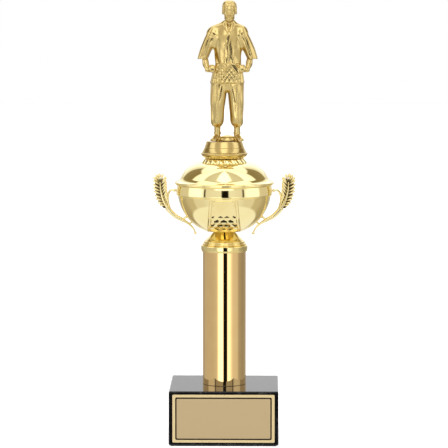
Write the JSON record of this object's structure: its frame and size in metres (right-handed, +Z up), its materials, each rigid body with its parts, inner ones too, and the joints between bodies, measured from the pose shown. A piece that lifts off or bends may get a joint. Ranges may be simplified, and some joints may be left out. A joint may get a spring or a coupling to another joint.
{
  "type": "column trophy",
  "caption": "Award trophy: black marble block, mirror-gold column, covered two-handled bowl with leaf-spray handles, and a standing uniformed figure that turns on a round pedestal.",
  "frame": {"origin": "middle of the underside, on the table", "axes": "+Z up along the rod, engraving plate on the -Y face, handles along X"},
  "size_m": [0.1324, 0.1008, 0.4044],
  "materials": {
    "felt": "matte",
    "marble": "polished",
    "adhesive": "matte",
    "plate": "satin",
    "zinc_steel": "satin",
    "black_plastic": "matte",
    "column_gold": "polished",
    "cap_gold": "polished",
    "bowl_gold": "polished",
    "handle_gold": "polished",
    "nylon": "satin",
    "figure_gold": "satin",
    "brass_insert": "satin"
  },
  "bodies": {
    "trophy": {"felt_base": "felt", "marble_base": "marble", "plate_adhesive": "adhesive", "name_plate": "plate", "center_rod": "zinc_steel", "base_nut": "zinc_steel", "base_lock_washer": "zinc_steel", "base_washer": "zinc_steel", "column_foot_plug": "black_plastic", "column_tube": "column_gold", "column_head_plug": "black_plastic", "column_cap": "cap_gold", "bowl": "bowl_gold", "handle_left": "handle_gold", "handle_right": "handle_gold", "handle_retainers": "zinc_steel", "bowl_washer": "zinc_steel", "bowl_lock_washer": "zinc_steel", "bowl_nut": "zinc_steel", "lid": "bowl_gold", "lid_collar": "bowl_gold", "figure_washer": "nylon"},
    "figure_group": {"figure_base": "figure_gold", "figure_insert": "brass_insert", "figure": "figure_gold"}
  },
  "joints": [
    {"name": "figure_turn", "type": "hinge", "parent": "trophy", "child": "figure_group", "pos_m": [0, 0, 0.2651], "axis": [0, 0, 1], "range_deg": [-180, 180]}
  ]
}
